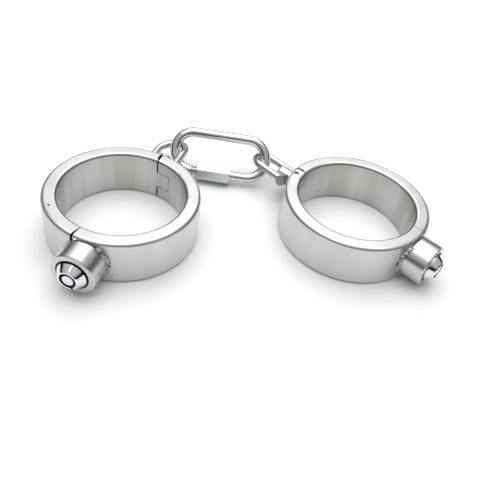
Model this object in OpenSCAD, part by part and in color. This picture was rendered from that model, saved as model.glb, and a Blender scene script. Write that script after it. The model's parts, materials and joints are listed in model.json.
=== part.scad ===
// Pair of hinged stainless wrist cuffs, each closed by a push-in tubular key lock,
// joined by swivelling bow shackles and one screw-sleeve quick link.
// Millimetres. +Z is up and both cuffs lie flat on Z = 0.

/* [Cuff band] */
// Inside diameter of each closed cuff
cuff_inner_d = 63; // [60:0.5:66]
// Thickness of the band wall
band_wall = 7.5; // [7:0.1:8]
// Height of the band
band_h = 25; // [24:0.5:27]
// Rounding of the outer rims
edge_outer = 2; // [1:0.1:2.5]
// Rounding of the inner rims
edge_inner = 1.6; // [0.8:0.1:2]

/* [Hinge] */
// Angle from the hinge seam to the hinge pin
pin_turn = 7; // [6:0.5:8]
// Radius of the hinge pin
pin_r = 1.5; // [1.2:0.1:1.8]
// Height of the hinge tongue
tongue_h = 9.3; // [8:0.1:10]
// Gap at the inner edge of the left cuff's hinge seam
seam_gap_left = 0.9; // [0.2:0.1:1]
// Gap at the inner edge of the right cuff's hinge seam
seam_gap_right = 0.35; // [0.2:0.05:1]

/* [Lock seam] */
// Gap at the outer edge of the left cuff's lock seam
lock_gap_left = 1.3; // [0.3:0.1:1.5]
// Gap at the outer edge of the right cuff's lock seam
lock_gap_right = 0.3; // [0.3:0.1:1.5]

/* [Lock] */
// Angle from the lock seam to the lock axis
lock_turn = 8.5; // [8:0.1:9]
// Outer radius of the lock housing
housing_r = 11.2; // [11:0.1:11.5]
// Distance from the cuff's centre to the housing's front face
housing_end = 49.9; // [49.6:0.1:51]
// Travel of the push-in lock body
lock_travel = 3.4; // [3:0.1:3.4]

/* [Swivel shackle] */
// Angle from the hinge seam to the swivel stud
stud_turn = 7.3; // [7:0.1:9]
// Radius of the bow's wire
bow_wire_r = 2.2; // [2:0.1:2.4]
// Half the distance between the bow's two legs
bow_half = 8.3; // [8:0.1:8.6]
// Length of the bow's straight legs
bow_leg = 16; // [15:0.5:18]
// Resting turn of the left swivel
swivel_left = -12; // [-20:1:20]
// Resting turn of the right swivel
swivel_right = 16; // [-20:1:20]
// Resting tilt of the left bow
tilt_left = -1; // [-10:1:10]
// Resting tilt of the right bow
tilt_right = 3; // [-10:1:10]

/* [Quick link] */
// Radius of the link's wire
link_wire_r = 2.8; // [2.5:0.1:3]
// Length of the link between wire centres
link_length = 53.4; // [52:0.1:55]
// Half the width of the link between wire centres
link_half = 11; // [10.5:0.5:12]
// Length of the hexagonal screw sleeve
sleeve_length = 19; // [17:0.5:20]
// Lean of the link's plane from the floor
link_lean = 55; // [50:1:60]
// Turn of the screw sleeve on its thread
sleeve_turn = -8; // [-30:1:30]

/* [Layout] */
// Distance between the two cuffs' centres
cuff_spacing = 122.3; // [118:0.1:126]
// Direction of the left cuff's hinge seam
hinge_left = 57.6; // [55:0.1:60]
// Direction of the right cuff's hinge seam
hinge_right = 139.4; // [137:0.1:142]

/* [Hidden] */
$fn = 96;
over = 1;                                  // how far a cutting shape runs past its target

// Band
inner_r = cuff_inner_d / 2;
band_r = inner_r + band_wall;
mid_z = band_h / 2;

// Hinge: the pin stands in the wall, just inside the lock half's end
pin_at_r = band_r - 3.1;
pin_x = pin_at_r * cos(pin_turn);
pin_y = -pin_at_r * sin(pin_turn);
pin_end = 2.4;                             // depth of the blind end above and below the pin
knuckle_r = norm([band_r - pin_x, pin_y]); // reach of the lock half's outer corner from the pin
tongue_end = 4.2;                          // reach of the hinge tongue past the pin
hinge_gap = 0.3;                           // clearance round the tongue

// Latch tongue: arcs about the hinge pin, so it enters its pocket cleanly
latch_in = pin_x + inner_r + 1.2;
latch_out = latch_in + 3.6;
latch_h = 9;
latch_from = 172;                          // direction from the pin where it leaves the wall
latch_to = 184.2;                          // direction of its tip
latch_gap = 0.2;

// Lock, measured outwards from the cuff's centre
housing_floor = 40;
housing_rim = 0.4;
barrel_r = 7.4;
barrel_bore_r = 7.45;
mouth_r = 8.3;
barrel_start = 43.6;
face_r = 5;
face_at = housing_end + 4;
cup_r = 5.2;
cup_end = 47.6;
keyway_r = 4.2;
keyway_floor = face_at - 3;
post_r = 2.75;
core_r = 4.5;
bolt_r = 3;
bolt_tip = 37.7;
bolt_bottom = 33.9;
flange_t = 1.3;
tumbler_r = 0.42;
tumbler_at = (keyway_r + post_r) / 2;       // distance of the tumblers from the lock's axis
tumbler_count = 7;
spring_wire_r = 0.45;
spring_r = 4.1;
spring_coils = 3;
screw_r = 1;
screw_at = 45.2;
slot_floor_r = 6.2;

// Swivel, measured outwards from the cuff's centre
shank_r = 2.2;
collar_bore_r = 2.25;
collar_r = 4.5;
collar_start = 39.5;
collar_end = 47.1;
stud_head_at = 47.3;
stud_end = 51;
stud_round = 1.5;
pivot_at = 43.4;
trunnion_r = 1.5;
trunnion_bore_r = 1.55;
trunnion_in = 3;
eye_r = 3;
eye_in = 5;
eye_out = 10.8;

// Quick link, in its own plane with its long axis along X
link_straight = link_length / 2 - link_half;
sleeve_flats = 10;
sleeve_bore_r = 2.85;
sleeve_at = -2.5;                          // middle of the sleeve along the link
thread_r = 2.78;
thread_depth = 0.45;
thread_pitch = 1;
gap_from = -3;
gap_to = 2.5;

// Layout: the pair's bounding box is centred on the origin
link_yaw = -10.9;
link_x = -7.4;
link_y = 48.8;
sleeve_corner = sleeve_flats / 2 / cos(30);
link_z = sleeve_corner * cos(60 - link_lean - sleeve_turn) + link_half * sin(link_lean);
left_x = -cuff_spacing / 2;
right_x = cuff_spacing / 2;
lock_dir_left = hinge_left - 180 + lock_turn;
lock_dir_right = hinge_right + 180 - lock_turn;
low_x = left_x - band_r;
high_x = right_x + (housing_end - housing_rim) * cos(lock_dir_right) + housing_r * abs(sin(lock_dir_right));
low_y = face_at * sin(lock_dir_left) - face_r * abs(cos(lock_dir_left));
stud_dir_left = hinge_left + stud_turn;
high_y = (pivot_at + bow_leg) * sin(stud_dir_left) + bow_wire_r
  + bow_half * norm([sin(stud_dir_left), cos(swivel_left) * cos(stud_dir_left)]);
shift = [-(low_x + high_x) / 2, -(low_y + high_y) / 2, 0];

// ---- placing ----

// A cuff's own frame has its hinge seam along +X and its lock half towards -Y.
module on_left() {
  translate(shift + [left_x, 0, 0]) rotate([0, 0, hinge_left]) children();
}

// The right cuff is the same item turned over.
module on_right() {
  translate(shift + [right_x, 0, band_h]) rotate([0, 0, hinge_right]) rotate([180, 0, 0]) children();
}

// Z runs outwards from the cuff's centre along the lock's axis.
module along_lock() {
  rotate([0, 0, lock_turn - 180]) translate([0, 0, mid_z]) rotate([0, 90, 0]) children();
}

// Z runs outwards from the cuff's centre along the swivel's axis.
module along_stud() {
  rotate([0, 0, stud_turn]) translate([0, 0, mid_z]) rotate([0, 90, 0]) children();
}

module at_pin() {
  translate([pin_x, pin_y, 0]) children();
}

module on_link() {
  translate(shift + [link_x, link_y, link_z]) rotate([0, 0, link_yaw]) rotate([link_lean, 0, 0]) children();
}

// A cylinder between two heights.
module rod(r, from, to) {
  translate([0, 0, from]) cylinder(r = r, h = to - from);
}

module tube(r_out, r_in, from, to) {
  difference() {
    rod(r_out, from, to);
    rod(r_in, from - over, to + over);
  }
}

// ---- cuff band ----

module band_section() {
  flat_w = band_wall - edge_inner - edge_outer;
  translate([inner_r + edge_inner, 0]) square([flat_w, band_h]);
  translate([inner_r, edge_inner]) square([edge_inner + flat_w / 2, band_h - 2 * edge_inner]);
  translate([band_r - edge_outer - flat_w / 2, edge_outer])
    square([edge_outer + flat_w / 2, band_h - 2 * edge_outer]);
  for (z = [edge_inner, band_h - edge_inner])
    translate([inner_r + edge_inner, z]) circle(r = edge_inner);
  for (z = [edge_outer, band_h - edge_outer])
    translate([band_r - edge_outer, z]) circle(r = edge_outer);
}

module band_sector(from, to) {
  rotate([0, 0, from]) rotate_extrude(angle = to - from) band_section();
}

// Outline that a hinge tongue may fill: square inside the pin, round outside it.
module tongue_outline() {
  translate([-10, -tongue_end]) square([10, tongue_end + 8]);
  circle(r = tongue_end);
  square([10, 8]);
}

// Leaves the tongue at the anchor half's end, with room for the lock half's knuckles.
module hinge_end_cut() {
  for (z = [-over, mid_z + tongue_h / 2])
    translate([0, 0, z]) linear_extrude(mid_z - tongue_h / 2 + over) {
      translate([inner_r - 4, -20]) square([band_wall + 5, 20]);
      translate([pin_x, pin_y]) circle(r = knuckle_r + 0.1);
    }
  at_pin() rotate([0, 0, -pin_turn]) translate([0, 0, -over]) linear_extrude(band_h + 2 * over)
    difference() {
      translate([-10, -12]) square([20, 12]);
      tongue_outline();
    }
}

module hinge_slot() {
  slot_h = tongue_h + 2 * hinge_gap;
  at_pin() rotate([0, 0, -pin_turn]) translate([-10, -tongue_end - hinge_gap, mid_z - slot_h / 2])
    cube([20, 20, slot_h]);
}

// Ring sector about the hinge pin, grown by a clearance.
module latch_sector(grow, to) {
  at_pin() rotate([0, 0, latch_from]) translate([0, 0, mid_z - latch_h / 2 - grow])
    rotate_extrude(angle = to - latch_from)
      translate([latch_in - grow, 0]) square([latch_out - latch_in + 2 * grow, latch_h + 2 * grow]);
}

module seam_wedge(r_thin, r_wide, gap) {
  translate([0, 0, -over]) linear_extrude(band_h + 2 * over)
    polygon([[r_thin, -over], [r_thin, 0], [r_wide, gap], [r_wide, -over]]);
}

module anchor_half(lock_gap) {
  color("silver") {
    difference() {
      union() {
        difference() {
          band_sector(-20, 180);
          hinge_end_cut();
          seam_wedge(-inner_r + 0.5, -band_r - 0.5, lock_gap);
        }
        latch_sector(0, latch_to);
      }
      at_pin() rod(pin_r + 0.05, -over, band_h + over);
      along_lock() rod(bolt_r + 0.1, 30, band_r + 3);
      along_stud() rod(shank_r, 35.5, band_r + over);
    }
  }
}

module lock_half(seam_gap) {
  color("silver") difference() {
    band_sector(-180, 0);
    hinge_slot();
    mirror([0, 1, 0]) seam_wedge(band_r + 0.5, inner_r - 0.5, seam_gap);
    translate([-band_r - over, -0.15, -over]) cube([band_wall + 2 * over, over, band_h + 2 * over]);
    translate([inner_r - over, -0.1, -over]) cube([band_wall + 2 * over, over, band_h + 2 * over]);
    latch_sector(latch_gap, latch_to + 0.4);
    at_pin() rod(pin_r, -over, band_h - pin_end);
    along_lock() rod(bolt_r + 0.05, bolt_bottom, band_r + over);
  }
}

module hinge_pin() {
  color("gray") at_pin() rod(pin_r, 0.6, band_h - pin_end);
}

// ---- lock ----

module lock_housing() {
  color("lightgray") difference() {
    along_lock() union() {
      rod(housing_r, band_r - 3, housing_end - housing_rim);
      translate([0, 0, housing_end - housing_rim])
        cylinder(r1 = housing_r, r2 = housing_r - housing_rim, h = housing_rim);
    }
    rod(band_r, -over, band_h + over);
    intersection() {
      rod(band_r + 0.35, -over, band_h + over);
      translate([-60, -0.4, -over]) cube([60, 40, band_h + 2 * over]);
    }
    along_lock() rod(bolt_r + 0.05, band_r - 4, housing_floor + over);
    along_lock() rod(barrel_bore_r, housing_floor, housing_end + over);
    along_lock() rod(mouth_r, housing_end - 1, housing_end + over);
    along_lock() translate([0, 0, screw_at]) rotate([90, 0, 0]) rod(screw_r, 0, housing_r + over);
  }
}

// Fillet weld between the housing and the lock half, on the side away from the seam.
module weld_bead() {
  bead = 1.4;
  color("darkgray") {
    intersection() {
      along_lock() tube(housing_r + bead, housing_r, band_r - 6, band_r + 4);
      tube(band_r + bead, band_r, 3, band_h - 3);
      translate([-60, -40, 0]) cube([60, 32, band_h]);
    }
    difference() {
      along_lock() translate([-housing_r + 0.7, -3.8, band_r - 0.2]) sphere(r = 1.3);
      rod(band_r, -over, band_h + over);
      along_lock() rod(housing_r, 30, 60);
    }
  }
}

// Chromed push-in body: a barrel, a tapered head and an annular keyway.
module lock_body() {
  round = 0.35;
  color("gainsboro") difference() {
    along_lock() difference() {
      rotate_extrude() {
        translate([0, barrel_start]) square([barrel_r, housing_end - barrel_start]);
        polygon([
          [0, housing_end], [barrel_r, housing_end], [barrel_r, housing_end + 0.6],
          [face_r + round, face_at - round], [face_r, face_at], [0, face_at]
        ]);
      }
      rod(cup_r, barrel_start - over, cup_end);
      rod(core_r + 0.05, cup_end - over, keyway_floor);
      rod(keyway_r, keyway_floor - over, face_at + over);
    }
    // Locating notch at the edge of the keyway
    along_lock() rotate([0, 0, 25]) translate([keyway_r - 0.6, -0.65, keyway_floor])
      cube([1.5, 1.3, 4]);
    // Slot that the retaining pin runs in
    along_lock() translate([-screw_r - 0.1, -slot_floor_r - 3, screw_at - screw_r - 0.1])
      cube([2 * screw_r + 0.2, 3, lock_travel + 2 * screw_r + 0.2]);
  }
}

// Rotating centre of the lock, with its post filling the middle of the keyway.
module key_core() {
  color("whitesmoke") along_lock() difference() {
    union() {
      rod(core_r, cup_end + 0.1, keyway_floor - 0.1);
      rod(post_r, keyway_floor - 0.2, face_at - 0.15);
    }
    for (i = [0 : tumbler_count - 1])
      rotate([0, 0, i * 360 / tumbler_count]) translate([tumbler_at, 0, 0])
        rod(tumbler_r, cup_end + 0.7, face_at);
  }
}

module tumbler_pins() {
  color("goldenrod") along_lock() for (i = [0 : tumbler_count - 1])
    rotate([0, 0, i * 360 / tumbler_count]) translate([tumbler_at, 0, 0])
      rod(tumbler_r, cup_end + 0.7, keyway_floor + 0.3);
}

module lock_bolt() {
  color("gray") along_lock() {
    rod(bolt_r, bolt_tip, cup_end);
    rod(cup_r, cup_end - flange_t, cup_end);
  }
}

// Drawn at its solid length, resting on the housing's floor.
module return_spring() {
  color("dimgray") along_lock() rotate_extrude() for (i = [0 : spring_coils - 1])
    translate([spring_r, housing_floor + spring_wire_r * (1 + 1.9 * i)]) circle(r = spring_wire_r, $fn = 24);
}

module retaining_pin() {
  color("gray") along_lock() translate([0, 0, screw_at]) rotate([90, 0, 0])
    rod(screw_r, slot_floor_r + 0.2, housing_r - 0.2);
}

// ---- swivel shackle ----

module swivel_stud() {
  color("lightgray") along_stud() {
    rod(shank_r, 35.5, stud_head_at + over);
    rotate_extrude() {
      translate([0, stud_head_at]) square([collar_r, stud_end - stud_round - stud_head_at]);
      translate([0, stud_head_at]) square([collar_r - stud_round, stud_end - stud_head_at]);
      translate([collar_r - stud_round, stud_end - stud_round]) circle(r = stud_round);
    }
  }
}

module swivel_collar(turn) {
  color("lightgray") along_stud() rotate([0, 0, turn]) difference() {
    tube(collar_r, collar_bore_r, collar_start, collar_end);
    for (side = [-1, 1])
      translate([0, 0, pivot_at]) rotate([-90 * side, 0, 0]) rod(trunnion_r, trunnion_in, 6);
  }
}

module trunnion_pins(turn) {
  color("gray") along_stud() rotate([0, 0, turn]) for (side = [-1, 1])
    translate([0, 0, pivot_at]) rotate([-90 * side, 0, 0]) rod(trunnion_r, trunnion_in, eye_out);
}

// Bent wire bow with an eye at each end.
module bow(turn, tip) {
  color("silver") along_stud() rotate([0, 0, turn]) translate([0, 0, pivot_at]) rotate([0, tip, 0])
    difference() {
      union() {
        for (side = [-1, 1]) {
          translate([0, side * bow_half, 0]) rod(bow_wire_r, 0, bow_leg);
          rotate([-90 * side, 0, 0]) rod(eye_r, eye_in, eye_out);
        }
        translate([0, 0, bow_leg]) rotate([0, -90, 0]) rotate([0, 0, -90]) rotate_extrude(angle = 180)
          translate([bow_half, 0]) circle(r = bow_wire_r);
      }
      rotate([90, 0, 0]) rod(trunnion_bore_r, -12, 12);
    }
}

// ---- quick link ----

// Threaded rod along +X, its end faces at two places.
module threaded_rod(from, to) {
  turns = floor((to - from) / thread_pitch);
  rotate([0, 90, 0]) rotate_extrude() polygon(concat(
    [[0, from]],
    [for (i = [0 : turns - 1]) for (k = [0, 1])
      [thread_r - (k == 0 ? thread_depth : 0), from + (i + k / 2) * thread_pitch]],
    [[thread_r - thread_depth, to], [0, to]]
  ));
}

module quick_link() {
  color("silver") on_link() {
    translate([-link_straight, link_half, 0]) rotate([0, 90, 0]) rod(link_wire_r, 0, 2 * link_straight);
    for (side = [-1, 1])
      translate([side * link_straight, 0, 0]) rotate([0, 0, side * -90]) rotate_extrude(angle = 180)
        translate([link_half, 0]) circle(r = link_wire_r);
    translate([0, -link_half, 0]) {
      threaded_rod(-link_straight, gap_from);
      threaded_rod(gap_to, sleeve_at + sleeve_length / 2 - 0.4);
      rotate([0, 90, 0]) rod(link_wire_r, sleeve_at + sleeve_length / 2 - 0.4, link_straight);
    }
  }
}

module screw_sleeve() {
  across = sleeve_flats / cos(30);
  bevel = 0.6;
  color("lightblue") on_link() translate([sleeve_at, -link_half, 0])
    rotate([sleeve_turn, 0, 0]) rotate([0, 90, 0]) difference() {
    intersection() {
      translate([0, 0, -sleeve_length / 2]) cylinder(d = across, h = sleeve_length, $fn = 6);
      union() {
        rod(across / 2 + 0.1, bevel - sleeve_length / 2, sleeve_length / 2 - bevel);
        translate([0, 0, sleeve_length / 2 - bevel])
          cylinder(r1 = across / 2 + 0.1, r2 = across / 2 - bevel, h = bevel);
        translate([0, 0, -sleeve_length / 2])
          cylinder(r1 = across / 2 - bevel, r2 = across / 2 + 0.1, h = bevel);
      }
    }
    rod(sleeve_bore_r, -sleeve_length, sleeve_length);
  }
}

on_left() anchor_half(lock_gap_left);  // left_anchor_half
on_left() lock_half(seam_gap_left);  // left_lock_half
on_left() hinge_pin();  // left_hinge_pin
on_left() lock_housing();  // left_lock_housing
on_left() weld_bead();  // left_weld_bead
on_left() lock_body();  // left_lock_body
on_left() key_core();  // left_key_core
on_left() tumbler_pins();  // left_tumbler_pins
on_left() lock_bolt();  // left_lock_bolt
on_left() return_spring();  // left_return_spring
on_left() retaining_pin();  // left_retaining_pin
on_left() swivel_stud();  // left_swivel_stud
on_left() swivel_collar(swivel_left);  // left_swivel_collar
on_left() trunnion_pins(swivel_left);  // left_trunnion_pins
on_left() bow(swivel_left, tilt_left);  // left_bow
on_right() anchor_half(lock_gap_right);  // right_anchor_half
on_right() lock_half(seam_gap_right);  // right_lock_half
on_right() hinge_pin();  // right_hinge_pin
on_right() lock_housing();  // right_lock_housing
on_right() weld_bead();  // right_weld_bead
on_right() lock_body();  // right_lock_body
on_right() key_core();  // right_key_core
on_right() tumbler_pins();  // right_tumbler_pins
on_right() lock_bolt();  // right_lock_bolt
on_right() return_spring();  // right_return_spring
on_right() retaining_pin();  // right_retaining_pin
on_right() swivel_stud();  // right_swivel_stud
on_right() swivel_collar(swivel_right);  // right_swivel_collar
on_right() trunnion_pins(swivel_right);  // right_trunnion_pins
on_right() bow(swivel_right, tilt_right);  // right_bow
quick_link();
screw_sleeve();
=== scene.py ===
"""Pair of stainless wrist cuffs with tubular key locks, joined by a quick link, on a pale floor."""

import json
import math

import bpy
from mathutils import Matrix, Vector

MM = 0.001
BAND_HEIGHT = 25 * MM
BAND_MEAN_RADIUS = 35 * MM
INNER_SHADE_RADII = 31.6 * MM, 32.3 * MM   # the inner wall's painted shade fades out between these
SLOT_REACH = 9 * MM                   # from the band's mid height to past its slots
HOUSING_GAP_SHADE_RADIUS = 39.45 * MM       # painted shade of the gap between lock housing and band ends here
# the housing is painted with shade in its bore, within this distance of the lock's axis
HOUSING_BORE_SHADE_RADIUS = 8.35 * MM
POST_SHADE_DEPTH = 0.4 * MM                   # bright end of the post, below the lock's face; deeper down, its sides are painted shade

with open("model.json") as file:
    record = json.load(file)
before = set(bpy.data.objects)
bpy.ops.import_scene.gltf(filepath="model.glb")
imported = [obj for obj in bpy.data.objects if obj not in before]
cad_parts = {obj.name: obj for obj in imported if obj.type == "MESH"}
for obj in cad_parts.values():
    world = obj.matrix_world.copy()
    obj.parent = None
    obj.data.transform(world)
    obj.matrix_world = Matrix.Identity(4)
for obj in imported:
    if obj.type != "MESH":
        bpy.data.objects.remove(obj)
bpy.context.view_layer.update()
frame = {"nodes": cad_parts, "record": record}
nodes = frame["nodes"]


# ---- where things are, taken from the frame ----


def mount(name):
    return next(m for m in frame["record"]["mounts"] if m["name"] == name)


def cuff_centre(side):
    x, y, _ = mount(side + "_wrist_hole")["pos_m"]
    return Vector((x, y, 0))


CUFF = {side: cuff_centre(side) for side in ("left", "right")}


# ---- materials ----


class Nodes:
    """Builds one material's node tree."""

    def __init__(self, name):
        self.material = bpy.data.materials.new(name)
        self.material.use_nodes = True
        self.tree = self.material.node_tree
        self.shader = self.tree.nodes["Principled BSDF"]

    def add(self, kind, **settings):
        node = self.tree.nodes.new(kind)
        for key, value in settings.items():
            setattr(node, key, value)
        return node

    def link(self, out, into):
        self.tree.links.new(out, into)

    def coordinates(self, output="Object"):
        return self.add("ShaderNodeTexCoord").outputs[output]

    def split(self, vector):
        node = self.add("ShaderNodeSeparateXYZ")
        self.link(vector, node.inputs["Vector"])
        return node.outputs["X"], node.outputs["Y"], node.outputs["Z"]

    def vectors(self, operation, a, b=None):
        """Vector maths; an input is a socket or a fixed vector."""
        node = self.add("ShaderNodeVectorMath", operation=operation)
        for slot, value in zip(node.inputs, (a, b)):
            if isinstance(value, bpy.types.NodeSocket):
                self.link(value, slot)
            elif value is not None:
                slot.default_value = value
        number = operation in ("DISTANCE", "DOT_PRODUCT", "LENGTH")
        return node.outputs["Value" if number else "Vector"]

    def noise(self, vector, scale, detail):
        node = self.add("ShaderNodeTexNoise")
        node.inputs["Scale"].default_value = scale
        node.inputs["Detail"].default_value = detail
        self.link(vector, node.inputs["Vector"])
        return node.outputs["Fac"]

    def ramp(self, value, stops):
        node = self.add("ShaderNodeValToRGB")
        points = node.color_ramp.elements
        while len(points) < len(stops):
            points.new(0.5)
        for point, (place, colour) in zip(points, stops):
            point.position = place
            point.color = (*colour, 1)
        self.link(value, node.inputs["Fac"])
        return node.outputs["Color"]

    def maths(self, operation, a, b=0.0):
        node = self.add("ShaderNodeMath", operation=operation)
        for slot, value in zip(node.inputs, (a, b)):
            if isinstance(value, (int, float)):
                slot.default_value = value
            else:
                self.link(value, slot)
        return node.outputs["Value"]

    def spread(self, value, low, high):
        node = self.add("ShaderNodeMapRange")
        node.inputs["To Min"].default_value = low
        node.inputs["To Max"].default_value = high
        self.link(value, node.inputs["Value"])
        return node.outputs["Result"]

    def mix(self, factor, a, b):
        node = self.add("ShaderNodeMix", data_type="RGBA")
        for name, value in (("A", a), ("B", b)):
            slot = next(s for s in node.inputs if s.name == name and s.type == "RGBA")
            if isinstance(value, tuple):
                slot.default_value = (*value, 1)
            else:
                self.link(value, slot)
        self.link(factor, node.inputs["Factor"])
        return next(s for s in node.outputs if s.type == "RGBA")

    def bump(self, height, strength, distance):
        node = self.add("ShaderNodeBump")
        node.inputs["Strength"].default_value = strength
        node.inputs["Distance"].default_value = distance
        self.link(height, node.inputs["Height"])
        self.link(node.outputs["Normal"], self.shader.inputs["Normal"])

    def metal(self, colour, roughness):
        self.shader.inputs["Metallic"].default_value = 1.0
        if isinstance(colour, tuple):
            self.shader.inputs["Base Color"].default_value = (*colour, 1)
        else:
            self.link(colour, self.shader.inputs["Base Color"])
        if isinstance(roughness, float):
            self.shader.inputs["Roughness"].default_value = roughness
        else:
            self.link(roughness, self.shader.inputs["Roughness"])


def around(m, centre, along_scale, up_scale):
    """Distance along the band, distance from its axis and height, as a vector, with the radius."""
    place_x, place_y, place_z = m.split(m.coordinates())
    x = m.maths("SUBTRACT", place_x, centre.x)
    y = m.maths("SUBTRACT", place_y, centre.y)
    squares = m.maths("ADD", m.maths("MULTIPLY", x, x), m.maths("MULTIPLY", y, y))
    radius = m.maths("SQRT", squares)
    along = m.maths("MULTIPLY", m.maths("ARCTAN2", y, x), BAND_MEAN_RADIUS)
    joined = m.add("ShaderNodeCombineXYZ")
    m.link(m.maths("MULTIPLY", along, along_scale), joined.inputs["X"])
    m.link(radius, joined.inputs["Y"])
    m.link(m.maths("MULTIPLY", place_z, up_scale), joined.inputs["Z"])
    return joined.outputs["Vector"], radius


def band_steel(side):
    m = Nodes(side + "_band_steel")
    vector, radius = around(m, CUFF[side], 0.06, 1)
    upright, _ = around(m, CUFF[side], 1, 0.12)
    grain = m.noise(vector, 2600, 4)
    cloud = m.noise(upright, 75, 2)
    inner = m.ramp(radius_step(m, radius), [(0.0, (1, 1, 1)), (1.0, (0, 0, 0))])
    outside = m.ramp(cloud, [(0.35, (0.58, 0.575, 0.555)), (0.65, (0.64, 0.635, 0.62))])
    # the inner wall gets a darker colour: painted shade inside the ring
    inner_shade_colour = m.ramp(cloud, [(0.35, (0.47, 0.455, 0.43)), (0.65, (0.62, 0.605, 0.58))])
    with_inner_shade = m.mix(inner, outside, inner_shade_colour)
    # near-black: the rim's few pits, and painted shade in the gaps at the halves' ends and slots
    dark = m.maths("MAXIMUM", pit_mask(m, side), gap_shade_mask(m, CUFF[side]))
    m.metal(m.mix(dark, with_inner_shade, (0.02, 0.02, 0.018)), m.spread(grain, 0.26, 0.36))
    m.bump(grain, 0.05, 0.05 * MM)
    return m.material


def gap_shade_mask(m, centre):
    """1 on the ends of the band's two halves and inside the slots cut into them, where shade in the
    gaps is painted near-black.
    """
    place = m.coordinates()
    normal = m.coordinates("Normal")
    level = m.maths("GREATER_THAN", m.maths("ABSOLUTE", m.split(normal)[2]), 0.9)
    from_middle = m.maths("ABSOLUTE", m.maths("SUBTRACT", m.split(place)[2], BAND_HEIGHT / 2))
    in_slot = m.maths("MULTIPLY", level, m.maths("LESS_THAN", from_middle, SLOT_REACH))
    spoke = m.vectors("SUBTRACT", place, centre)
    along = m.vectors("NORMALIZE", m.vectors("CROSS_PRODUCT", (0, 0, 1), spoke))
    facing = m.vectors("DOT_PRODUCT", along, normal)
    at_end = m.maths("GREATER_THAN", m.maths("ABSOLUTE", facing), 0.6)
    return m.maths("MAXIMUM", at_end, in_slot)


def radius_step(m, radius):
    """0 on the inner wall, 1 from just outside it."""
    node = m.add("ShaderNodeMapRange")
    node.inputs["From Min"].default_value, node.inputs["From Max"].default_value = INNER_SHADE_RADII
    m.link(radius, node.inputs["Value"])
    return node.outputs["Result"]


# distance from the cuff's axis in mm, direction in degrees, width in mm
PITS = {
    "left": ((35.7, 200.6, 1.1), (35.9, 199.4, 0.8), (32.8, 28.0, 0.7), (33.2, -6.0, 0.8)),
    "right": ((33.4, 170.0, 0.3),),
}


def pit_mask(m, side):
    """1 in a few tiny pits on the cuff's upper rim."""
    place = m.coordinates()
    total = None
    for radius, turn, size in PITS[side]:
        angle = math.radians(turn)
        spoke = Vector((math.cos(angle), math.sin(angle), 0)) * radius * MM
        spot = CUFF[side] + spoke + Vector((0, 0, BAND_HEIGHT))
        near = m.maths("LESS_THAN", m.vectors("DISTANCE", place, spot), size * MM / 2)
        total = near if total is None else m.maths("MAXIMUM", total, near)
    return total


def plain_metal(name, colour, roughness, grain_scale=900, grain=0.04, bump=0.03):
    m = Nodes(name)
    fac = m.noise(m.coordinates(), grain_scale, 3)
    m.metal(colour, m.spread(fac, max(roughness - grain, 0.02), roughness + grain))
    if bump:
        m.bump(fac, bump, 0.05 * MM)
    return m.material


def housing_steel(side):
    """Turned steel, with painted shade in the gap beside the band and in its bore."""
    m = Nodes(side + "_housing_steel")
    _, radius = around(m, CUFF[side], 1, 1)
    socket = mount(side + "_key_socket")
    fac = m.noise(m.coordinates(), 900, 3)
    gap = m.maths("LESS_THAN", radius, HOUSING_GAP_SHADE_RADIUS)
    bore = m.maths("LESS_THAN", beside(m, socket), HOUSING_BORE_SHADE_RADIUS)
    # both masks paint shade: near-black in the gap and the bore
    dark = m.maths("MAXIMUM", gap, bore)
    m.metal(m.mix(dark, (0.62, 0.62, 0.60), (0.03, 0.03, 0.03)), m.spread(fac, 0.24, 0.32))
    m.bump(fac, 0.03, 0.05 * MM)
    return m.material


def core_steel(side):
    """Bright on the end of the post, with painted shade down its sides."""
    m = Nodes(side + "_core_steel")
    # near-black below the post's end: painted shade down the keyway
    post_shade = m.maths("GREATER_THAN", beneath(m, mount(side + "_key_socket")), POST_SHADE_DEPTH)
    m.metal(m.mix(post_shade, (0.85, 0.85, 0.86), (0.02, 0.02, 0.02)), 0.25)
    return m.material


def from_socket(m, socket):
    return m.vectors("SUBTRACT", m.coordinates(), socket["pos_m"])


def beneath(m, socket):
    """Depth below the lock's face."""
    return m.vectors("DOT_PRODUCT", from_socket(m, socket), -Vector(socket["axis"]))


def beside(m, socket):
    """Distance from the lock's axis."""
    return m.vectors("LENGTH", m.vectors("CROSS_PRODUCT", from_socket(m, socket), socket["axis"]))


def weld_metal():
    m = Nodes("weld_metal")
    vector = m.coordinates()
    lumps = m.noise(vector, 1100, 2)
    m.metal(m.ramp(lumps, [(0.4, (0.06, 0.06, 0.06)), (0.56, (0.72, 0.71, 0.69))]), 0.34)
    m.bump(lumps, 1.0, 0.7 * MM)
    return m.material


def floor_paint():
    m = Nodes("floor_paint")
    fac = m.noise(m.coordinates(), 6, 2)
    paint = m.ramp(fac, [(0.3, (0.90, 0.90, 0.905)), (0.7, (0.92, 0.92, 0.92))])
    m.link(paint, m.shader.inputs["Base Color"])
    m.shader.inputs["Roughness"].default_value = 0.6
    return m.material


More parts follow.
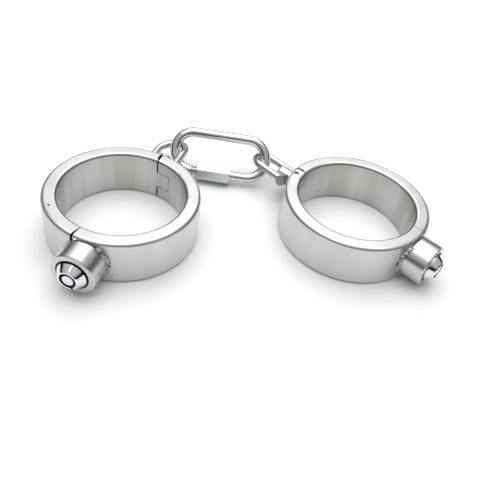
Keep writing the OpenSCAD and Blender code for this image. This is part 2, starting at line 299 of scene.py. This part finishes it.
LOOKS = {
    "weld_bead": weld_metal(),
    "lock_body": plain_metal("lock_chrome", (0.80, 0.80, 0.82), 0.06, grain=0.02, bump=0.0),
    # the tumbler pins are near-black: painted shade at the bottom of the keyway
    "tumbler_pins": plain_metal("tumbler_painted_shade", (0.05, 0.05, 0.05), 0.4),
    "hinge_pin": plain_metal("pin_steel", (0.55, 0.55, 0.56), 0.3),
    "return_spring": plain_metal("spring_steel", (0.45, 0.45, 0.46), 0.3),
    "swivel": plain_metal("shackle_steel", (0.55, 0.545, 0.53), 0.26),
    "link": plain_metal("link_zinc", (0.62, 0.64, 0.64), 0.14, grain=0.05, bump=0.12),
    "sleeve": plain_metal("sleeve_zinc", (0.55, 0.60, 0.59), 0.22, grain=0.1, bump=0.25),
}
LOOK_OF = {
    "lock_bolt": "hinge_pin", "retaining_pin": "hinge_pin", "trunnion_pins": "hinge_pin",
    "swivel_stud": "swivel", "swivel_collar": "swivel", "bow": "swivel",
    "quick_link": "link", "screw_sleeve": "sleeve",
}
OWN_LOOKS = {}
for side in CUFF:
    OWN_LOOKS[side + "_anchor_half"] = OWN_LOOKS[side + "_lock_half"] = band_steel(side)
    OWN_LOOKS[side + "_lock_housing"] = housing_steel(side)
    OWN_LOOKS[side + "_key_core"] = core_steel(side)


def look_of(name):
    if name in OWN_LOOKS:
        return OWN_LOOKS[name]
    side, _, part = name.partition("_")
    part = part if side in CUFF else name
    return LOOKS[LOOK_OF.get(part, part)]


for name, node in nodes.items():
    material = look_of(name)
    for slot in node.material_slots:
        slot.material = material


# ---- stage, light and camera ----


def make_floor():
    size = 3.0
    mesh = bpy.data.meshes.new("floor")
    corners = [(-size, -size, 0), (size, -size, 0), (size, size, 0), (-size, size, 0)]
    mesh.from_pydata(corners, [], [(0, 1, 2, 3)])
    floor = bpy.data.objects.new("floor", mesh)
    bpy.context.scene.collection.objects.link(floor)
    mesh.materials.append(floor_paint())


def make_light(name, place, size, power):
    """A soft panel above the floor, aimed at the origin."""
    data = bpy.data.lights.new(name, "AREA")
    data.shape = "RECTANGLE"
    data.size, data.size_y = size
    data.energy = power
    light = bpy.data.objects.new(name, data)
    bpy.context.scene.collection.objects.link(light)
    light.location = place
    light.rotation_euler = (-Vector(place)).to_track_quat("-Z", "Y").to_euler()


def make_world():
    """Dark round the horizon and bright above, so that polished metal has something to reflect."""
    world = bpy.data.worlds.new("studio")
    world.use_nodes = True
    tree = world.node_tree
    background = tree.nodes["Background"]
    place = tree.nodes.new("ShaderNodeTexCoord")
    parts = tree.nodes.new("ShaderNodeSeparateXYZ")
    ramp = tree.nodes.new("ShaderNodeValToRGB")
    points = ramp.color_ramp.elements
    for stop, grey in ((0.3, 0.03), (0.42, 0.5)):
        points.new(stop).color = (grey, grey, grey * 1.03, 1)
    points[0].color = (0.02, 0.02, 0.02, 1)
    points[-1].color = (0.8, 0.82, 0.85, 1)
    tree.links.new(place.outputs["Generated"], parts.inputs["Vector"])
    tree.links.new(parts.outputs["Z"], ramp.inputs["Fac"])
    tree.links.new(ramp.outputs["Color"], background.inputs["Color"])
    background.inputs["Strength"].default_value = 0.9
    bpy.context.scene.world = world
    bpy.context.scene.view_settings.view_transform = "Standard"


def make_camera():
    middle = (CUFF["left"] + CUFF["right"]) / 2
    eye = middle + Vector((-47.6, -220.7, 202.2)) * MM
    target = middle + Vector((0.22, -7.63, 0)) * MM
    forward = (target - eye).normalized()
    right = forward.cross(Vector((0, 0, 1))).normalized()
    up = right.cross(forward)
    roll = math.radians(9.756)
    across = right * math.cos(roll) + up * math.sin(roll)
    above = up * math.cos(roll) - right * math.sin(roll)
    data = bpy.data.cameras.new("camera")
    data.lens = 41.8
    data.sensor_width = 36.0
    data.clip_start = 0.01
    camera = bpy.data.objects.new("camera", data)
    turn = Matrix((across, above, -forward)).transposed().to_4x4()
    camera.matrix_world = Matrix.Translation(eye) @ turn
    bpy.context.scene.collection.objects.link(camera)
    bpy.context.scene.camera = camera


make_floor()
make_world()
make_light("top", (-0.05, 0.15, 1.1), (1.5, 1.2), 11)
make_light("back", (0.15, 1.0, 0.75), (1.2, 0.7), 2.4)
make_camera()
